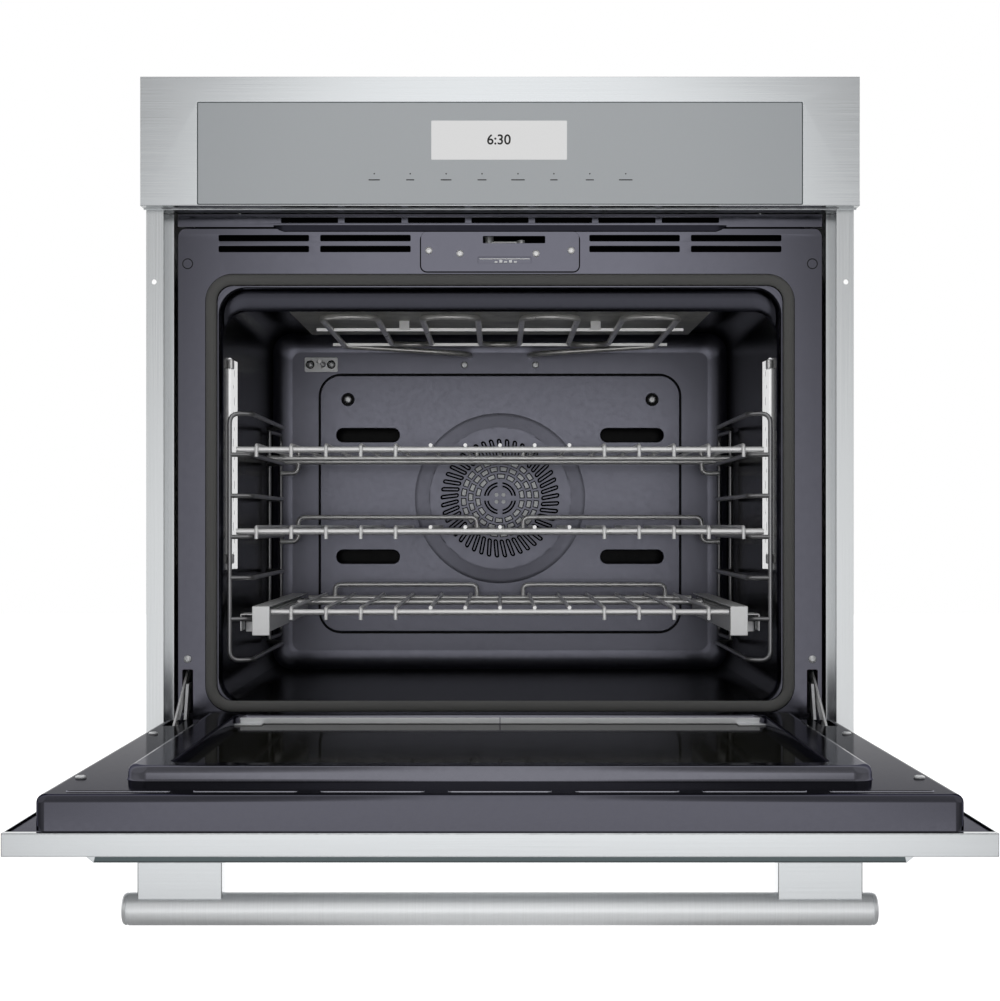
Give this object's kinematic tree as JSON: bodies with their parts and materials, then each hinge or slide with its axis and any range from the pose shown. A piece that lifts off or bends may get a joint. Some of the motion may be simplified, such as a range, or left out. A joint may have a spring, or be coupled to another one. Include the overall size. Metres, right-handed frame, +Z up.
{
  "type": "wall oven",
  "caption": "Built-in electric single wall oven with drop-down door, touch control panel, wire racks, convection fan and cooling blower.",
  "frame": {"origin": "middle of the base, in the plane of the mounting flanges' rear faces", "axes": "+X right seen from the front, +Y into the oven, +Z up"},
  "size_m": [0.756, 1.158, 0.7822],
  "materials": {
    "stainless": "brushed",
    "galvanised": "satin",
    "enamel": "gloss enamel",
    "black_paint": "satin",
    "chrome": "polished",
    "dark_wire": "dark polished",
    "element_metal": "oxidised",
    "panel_glass": "gloss",
    "door_glass": "gloss",
    "rope": "woven",
    "fibre": "matt",
    "plastic": "matt"
  },
  "bodies": {
    "chassis": {"base_pan": "galvanised", "side_panel_left": "galvanised", "side_panel_right": "galvanised", "top_cover": "galvanised", "rear_cover": "galvanised", "cable_gland": "galvanised", "bottom_trim": "black_paint", "mounting_flange_left": "stainless", "mounting_flange_right": "stainless", "hinge_body_left": "galvanised", "hinge_body_right": "galvanised", "control_panel_frame": "stainless", "control_glass": "panel_glass", "control_housing": "plastic", "control_board": "plastic", "vent_grille": "enamel", "vent_lip": "black_paint", "front_frame": "enamel", "latch_plate": "enamel", "latch_motor": "galvanised", "cavity_liner": "enamel", "gasket": "rope", "insulation": "fibre", "fan_baffle": "enamel", "fan_motor": "galvanised", "convection_element": "element_metal", "broil_element": "element_metal", "bake_element": "element_metal", "temperature_probe": "chrome", "oven_lamp_left": "door_glass", "oven_lamp_right": "door_glass", "side_rack_left": "dark_wire", "side_rack_right": "dark_wire", "rack_slide_outer_left": "chrome", "rack_slide_outer_right": "chrome", "blower_housing": "galvanised", "blower_motor": "galvanised"},
    "door": {"door_front_panel": "stainless", "door_bezel": "stainless", "door_outer_glass": "door_glass", "door_middle_glass": "door_glass", "door_inner_glass": "door_glass", "door_liner": "enamel", "handle_bar": "stainless", "handle_post_left": "stainless", "handle_post_right": "stainless", "hinge_channel_left": "galvanised", "hinge_channel_right": "galvanised"},
    "link_left": {"hinge_link_left": "chrome"},
    "link_right": {"hinge_link_right": "chrome"},
    "upper_rack": {"rack_upper": "chrome"},
    "middle_rack": {"rack_middle": "chrome"},
    "lower_rack": {"rack_lower": "chrome", "rack_slide_inner_left": "chrome", "rack_slide_inner_right": "chrome"},
    "slide_left": {"rack_slide_middle_left": "chrome"},
    "slide_right": {"rack_slide_middle_right": "chrome"},
    "oven_fan": {"convection_fan": "galvanised"},
    "cooling_wheel": {"blower_wheel": "galvanised"},
    "door_latch": {"latch_hook": "chrome"}
  },
  "joints": [
    {"name": "door_hinge", "type": "hinge", "parent": "chassis", "child": "door", "pos_m": [0, -0.003, 0.037], "axis": [1, 0, 0], "range_deg": [-90, 0]},
    {"name": "link_turn_left", "type": "hinge", "parent": "door", "child": "link_left", "pos_m": [-0.3402, -0.043, 0.049], "axis": [1, 0, 0], "range_deg": [0, 75]},
    {"name": "link_turn_right", "type": "hinge", "parent": "door", "child": "link_right", "pos_m": [0.3402, -0.043, 0.049], "axis": [1, 0, 0], "range_deg": [0, 75]},
    {"name": "upper_rack_slide", "type": "slide", "parent": "chassis", "child": "upper_rack", "axis": [0, -1, 0], "range_m": [0, 0.3]},
    {"name": "middle_rack_slide", "type": "slide", "parent": "chassis", "child": "middle_rack", "axis": [0, -1, 0], "range_m": [0, 0.3]},
    {"name": "lower_rack_slide", "type": "slide", "parent": "chassis", "child": "lower_rack", "axis": [0, -1, 0], "range_m": [0, 0.36]},
    {"name": "slide_left_extend", "type": "slide", "parent": "chassis", "child": "slide_left", "axis": [0, -1, 0], "range_m": [0, 0.18]},
    {"name": "slide_right_extend", "type": "slide", "parent": "chassis", "child": "slide_right", "axis": [0, -1, 0], "range_m": [0, 0.18]},
    {"name": "oven_fan_spin", "type": "hinge", "parent": "chassis", "child": "oven_fan", "pos_m": [0, 0.52, 0.3042], "axis": [0, 1, 0], "continuous": true},
    {"name": "cooling_wheel_spin", "type": "hinge", "parent": "chassis", "child": "cooling_wheel", "pos_m": [0, 0.33, 0.62], "axis": [0, 0, 1], "continuous": true},
    {"name": "door_latch_turn", "type": "hinge", "parent": "chassis", "child": "door_latch", "pos_m": [-0.012, 0.05, 0.576], "axis": [0, 0, -1], "range_deg": [0, 60]}
  ],
  "couplings": [
    {"joint": "link_turn_left", "follows": "door_hinge", "ratio": -0.83333},
    {"joint": "link_turn_right", "follows": "door_hinge", "ratio": -0.83333},
    {"joint": "slide_left_extend", "follows": "lower_rack_slide", "ratio": 0.5},
    {"joint": "slide_right_extend", "follows": "lower_rack_slide", "ratio": 0.5}
  ]
}
